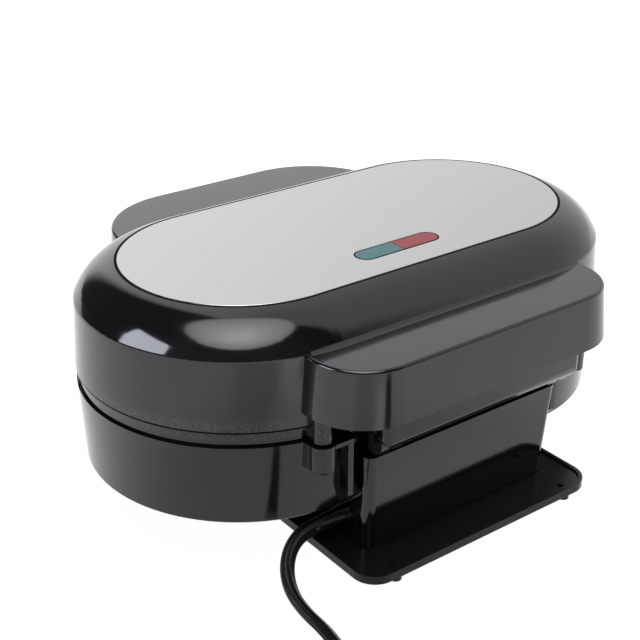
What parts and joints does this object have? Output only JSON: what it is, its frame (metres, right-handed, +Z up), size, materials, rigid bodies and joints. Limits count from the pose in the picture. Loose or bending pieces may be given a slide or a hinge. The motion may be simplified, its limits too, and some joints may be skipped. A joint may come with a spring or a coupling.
{
  "type": "electric omelette maker",
  "caption": "Racetrack-shaped electric omelette maker with hinged lid, two half-moon non-stick wells, front latch, indicator lamps and a pedestal foot that stores the cord.",
  "frame": {"origin": "middle of the whole object's box, cord left out, on the surface that the feet stand on", "axes": "+Z up, +X along the long axis, -Y towards the handle at the front, +Y towards the hinge at the back"},
  "size_m": [0.2969, 0.3092, 0.1055],
  "materials": {
    "black_abs": "moulded gloss",
    "frame_pbt": "moulded satin",
    "base_pp": "moulded satin",
    "zinc_screws": "zinc plated",
    "nonstick": "non-stick coated die-cast aluminium",
    "element_steel": "drawn tube, heat tinted",
    "tinplate": "pressed sheet",
    "thermostat_body": "phenolic moulding",
    "terminal_nylon": "moulded natural nylon",
    "pin_steel": "ground",
    "cord_pvc": "extruded soft vinyl",
    "plug_brass": "stamped, nickel tinted",
    "brushed_steel": "fine brushed stainless",
    "green_lens": "tinted clear moulding",
    "red_lens": "tinted clear moulding",
    "lamp_glass": "clear"
  },
  "bodies": {
    "base": {"lower_shell": "black_abs", "pedestal": "black_abs", "latch_catch": "black_abs", "neck_screws": "zinc_screws", "base_plate": "base_pp", "base_screws": "zinc_screws", "lower_frame": "frame_pbt", "lower_cooking_plate": "nonstick", "lower_heating_element": "element_steel", "lower_reflector": "tinplate", "lower_plate_screws": "zinc_screws", "thermostat": "thermostat_body", "thermal_fuse": "thermostat_body", "terminal_block": "terminal_nylon", "hinge_pins": "pin_steel", "strain_relief": "cord_pvc", "power_cord": "cord_pvc", "cord_coil": "cord_pvc", "plug_body": "cord_pvc", "plug_pins": "plug_brass"},
    "lid": {"lid_shell": "black_abs", "lid_frame": "frame_pbt", "lid_screws": "zinc_screws", "top_trim_plate": "brushed_steel", "ready_lens": "green_lens", "power_lens": "red_lens", "lamp_bracket": "terminal_nylon", "indicator_lamps": "lamp_glass", "upper_cooking_plate": "nonstick", "upper_heating_element": "element_steel", "upper_reflector": "tinplate", "upper_plate_screws": "zinc_screws", "latch_pin": "pin_steel"},
    "latch": {"latch": "black_abs"}
  },
  "joints": [
    {"name": "lid_hinge", "type": "hinge", "parent": "base", "child": "lid", "pos_m": [0, 0.0862, 0.0555], "axis": [-1, 0, 0], "range_deg": [0, 100]},
    {"name": "latch_pivot", "type": "hinge", "parent": "lid", "child": "latch", "pos_m": [0, -0.0683, 0.0666], "axis": [1, 0, 0], "range_deg": [-12, 18]}
  ]
}
